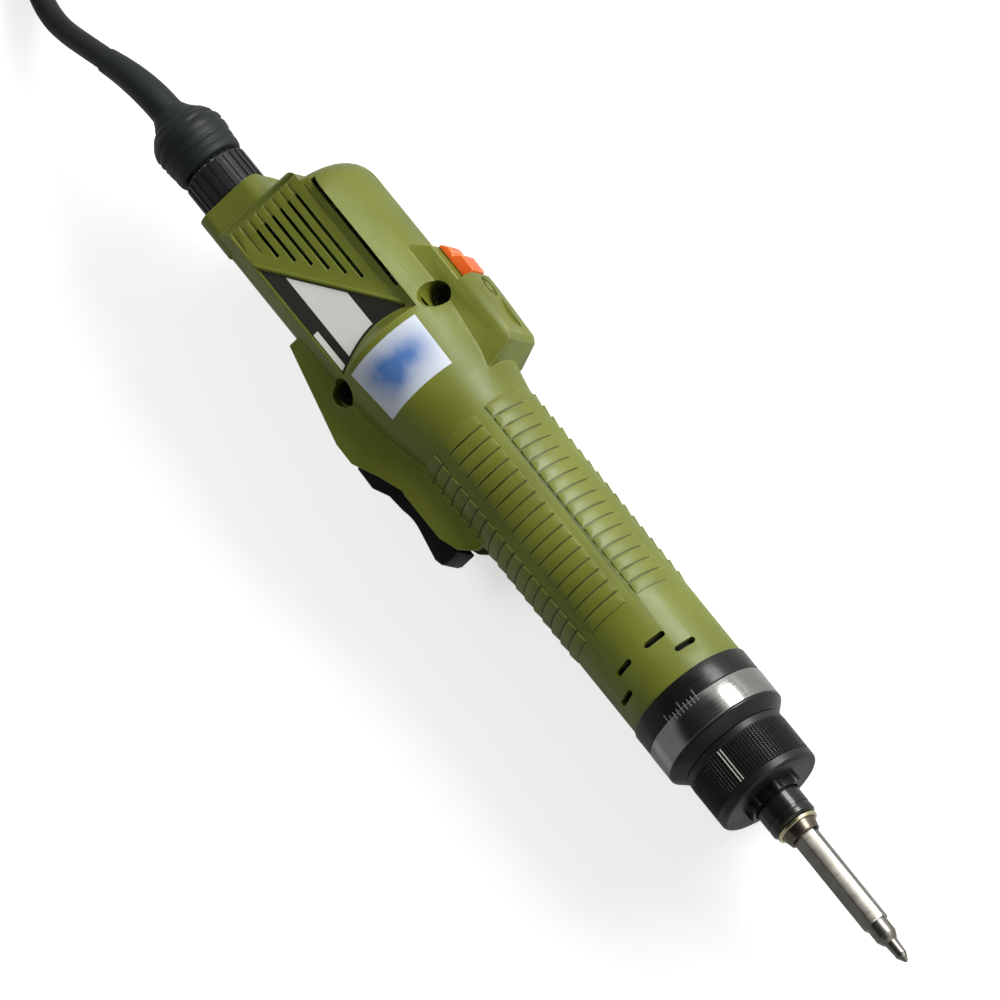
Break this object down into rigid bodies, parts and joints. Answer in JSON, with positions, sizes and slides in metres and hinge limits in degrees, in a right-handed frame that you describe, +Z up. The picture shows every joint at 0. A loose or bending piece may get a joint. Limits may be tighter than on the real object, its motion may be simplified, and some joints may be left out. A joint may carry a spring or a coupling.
{
  "type": "electric torque screwdriver",
  "caption": "Corded electric torque screwdriver with a start lever, slide switch, planetary gearbox, ball clutch, torque ring, quick-change chuck and cross bit.",
  "frame": {"origin": "bottom centre of the box round the tool without its free cord; the bench is at z = 0", "axes": "+X along the tool's axis to the bit, +Y to the slide switch, +Z up out of the labelled half of the housing"},
  "size_m": [0.4445, 0.0943, 0.0412],
  "materials": {
    "green_shell": "fine satin moulded plastic",
    "screw_steel": "zinc-plated",
    "black_satin": "satin black",
    "chrome_barrel": "polished",
    "bronze": "sintered",
    "spring_steel": "drawn wire",
    "machined_steel": "machined",
    "polished_steel": "polished",
    "pale_ring": "plated spring wire",
    "aluminium_plate": "turned",
    "motor_steel": "zinc-plated",
    "black_plastic": "satin moulded",
    "red_plastic": "moulded",
    "orange_plastic": "moulded",
    "board": "solder mask",
    "gold_contact": "plated",
    "rubber": "matte",
    "tie": "hook and loop strap"
  },
  "bodies": {
    "tool": {"upper_housing": "green_shell", "lower_housing": "green_shell", "housing_screws": "screw_steel", "nose_collar": "black_satin", "torque_barrel": "chrome_barrel", "clutch_spring": "spring_steel", "thrust_washer": "machined_steel", "ring_gear": "machined_steel", "carrier_bearing": "machined_steel", "motor_plate": "aluminium_plate", "motor_can": "motor_steel", "motor_end_cap": "black_plastic", "chuck_spring": "spring_steel", "lever_pin": "screw_steel", "lever_spring": "spring_steel", "micro_switch": "black_plastic", "slide_switch": "black_plastic", "circuit_board": "board", "rear_socket": "black_plastic", "socket_pins": "gold_contact", "plug_core": "black_plastic", "cable_boot": "rubber", "cord_lead": "rubber", "cord_coil": "rubber", "coil_tie": "tie", "cord_tail": "rubber", "far_plug": "black_plastic", "far_plug_pins": "gold_contact"},
    "rotor": {"motor_shaft": "machined_steel", "sun_gear": "machined_steel"},
    "spindle": {"planet_carrier": "machined_steel", "planet_pins": "machined_steel", "clutch_driver": "machined_steel", "clutch_balls": "polished_steel", "clutch_driven": "machined_steel", "spindle": "machined_steel", "chuck_balls": "polished_steel", "retaining_ring": "pale_ring", "driver_bit": "polished_steel"},
    "planet_1": {"planet_gear_1": "machined_steel"},
    "planet_2": {"planet_gear_2": "machined_steel"},
    "planet_3": {"planet_gear_3": "machined_steel"},
    "spring_seat": {"spring_seat": "bronze"},
    "torque_ring": {"torque_ring": "black_satin", "ring_hub": "black_satin"},
    "chuck_sleeve": {"chuck_sleeve": "black_satin"},
    "lever": {"lever": "black_plastic"},
    "plunger": {"switch_plunger": "red_plastic"},
    "knob": {"switch_knob": "orange_plastic"},
    "coupling_nut": {"coupling_nut": "black_plastic"},
    "far_nut": {"far_plug_nut": "black_plastic"}
  },
  "joints": [
    {"name": "spindle_spin", "type": "hinge", "parent": "tool", "child": "spindle", "pos_m": [0.04875, 0.0013, 0.0206], "axis": [1, 0, 0], "continuous": true},
    {"name": "motor_spin", "type": "hinge", "parent": "tool", "child": "rotor", "pos_m": [-0.01125, 0.0013, 0.0206], "axis": [1, 0, 0], "continuous": true},
    {"name": "planet_1_spin", "type": "hinge", "parent": "spindle", "child": "planet_1", "pos_m": [0.02075, 0.0013, 0.0287], "axis": [1, 0, 0], "continuous": true},
    {"name": "planet_2_spin", "type": "hinge", "parent": "spindle", "child": "planet_2", "pos_m": [0.02075, -0.00571, 0.01655], "axis": [1, 0, 0], "continuous": true},
    {"name": "planet_3_spin", "type": "hinge", "parent": "spindle", "child": "planet_3", "pos_m": [0.02075, 0.00831, 0.01655], "axis": [1, 0, 0], "continuous": true},
    {"name": "ring_feed", "type": "slide", "parent": "tool", "child": "spring_seat", "axis": [1, 0, 0], "range_m": [0, 0.002], "deforming": ["clutch_spring"]},
    {"name": "ring_turn", "type": "hinge", "parent": "spring_seat", "child": "torque_ring", "pos_m": [0.07375, 0.0013, 0.0206], "axis": [1, 0, 0], "range_deg": [0, 360]},
    {"name": "chuck_slide", "type": "slide", "parent": "spindle", "child": "chuck_sleeve", "axis": [1, 0, 0], "range_m": [-0.003, 0], "stiffness_N_per_m": 600, "springref_m": 0.002, "deforming": ["chuck_spring"]},
    {"name": "lever_press", "type": "hinge", "parent": "tool", "child": "lever", "pos_m": [-0.06125, -0.0197, 0.0206], "axis": [0, 0, 1], "range_deg": [0, 4], "stiffness_Nm_per_rad": 1.2, "springref_deg": -2.86, "deforming": ["lever_spring"]},
    {"name": "plunger_press", "type": "slide", "parent": "tool", "child": "plunger", "axis": [0, 1, 0], "range_m": [0, 0.0006]},
    {"name": "knob_slide", "type": "slide", "parent": "tool", "child": "knob", "axis": [1, 0, 0], "range_m": [-0.004, 0]},
    {"name": "coupling_turn", "type": "hinge", "parent": "tool", "child": "coupling_nut", "pos_m": [-0.13125, -0.009, 0.0206], "axis": [1, 0, 0], "range_deg": [0, 90]},
    {"name": "far_nut_turn", "type": "hinge", "parent": "tool", "child": "far_nut", "pos_m": [-0.29455, -0.0337, 0.02565], "axis": [0, -1, 0], "range_deg": [0, 90]}
  ],
  "couplings": [
    {"joint": "motor_spin", "follows": "spindle_spin", "ratio": 4.5},
    {"joint": "planet_1_spin", "follows": "spindle_spin", "ratio": -2.8},
    {"joint": "planet_2_spin", "follows": "spindle_spin", "ratio": -2.8},
    {"joint": "planet_3_spin", "follows": "spindle_spin", "ratio": -2.8},
    {"joint": "ring_turn", "follows": "ring_feed", "rad_per_m": 3141.6},
    {"joint": "plunger_press", "follows": "lever_press", "m_per_rad": 0.0072}
  ]
}
